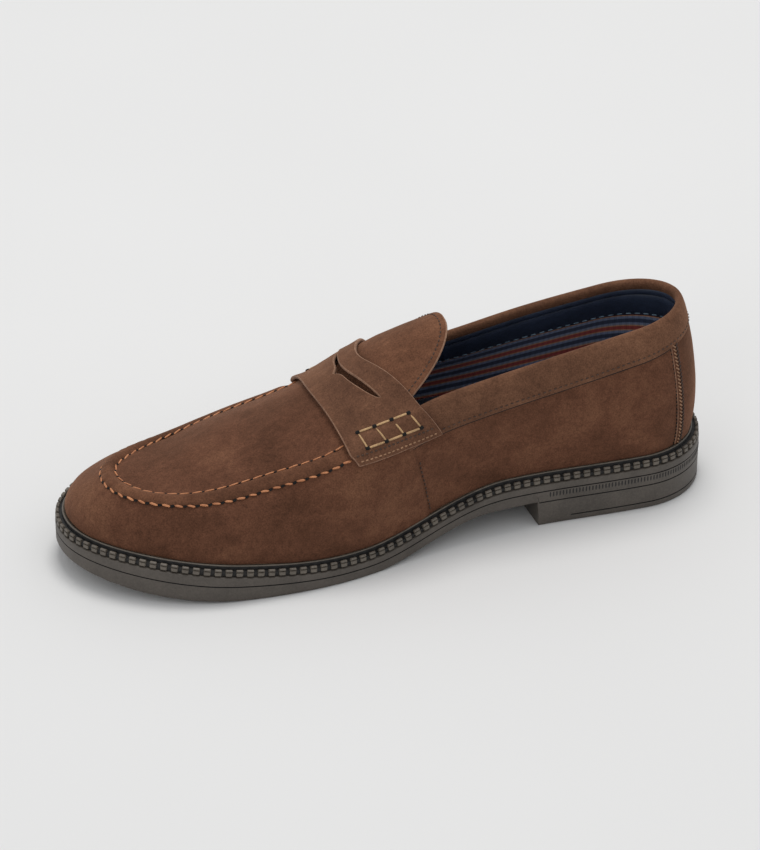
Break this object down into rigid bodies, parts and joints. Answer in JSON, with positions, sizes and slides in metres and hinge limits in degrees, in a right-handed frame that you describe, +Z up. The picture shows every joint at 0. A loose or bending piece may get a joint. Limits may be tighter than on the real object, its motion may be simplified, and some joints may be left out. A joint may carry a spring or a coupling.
{
  "type": "loafer shoe",
  "caption": "Suede loafer for the right foot with a stitched apron, slotted saddle strap, free tongue, toothed welt and rubber sole with a low heel.",
  "frame": {"origin": "on the ground under the middle of the sole's length and of its full width", "axes": "+X towards the toe, +Y towards the inner side of the foot, +Z up"},
  "size_m": [0.3, 0.1259, 0.0938],
  "materials": {
    "outsole": "matt moulded rubber",
    "welt": "matt toothed rubber strip",
    "insole": "plain woven cover",
    "upper": "suede nap",
    "tongue": "suede nap",
    "strap": "suede nap"
  },
  "bodies": {
    "root": {"outsole": "outsole", "welt": "welt", "insole": "insole", "upper": "upper", "tongue": "tongue", "strap": "strap"}
  },
  "joints": []
}
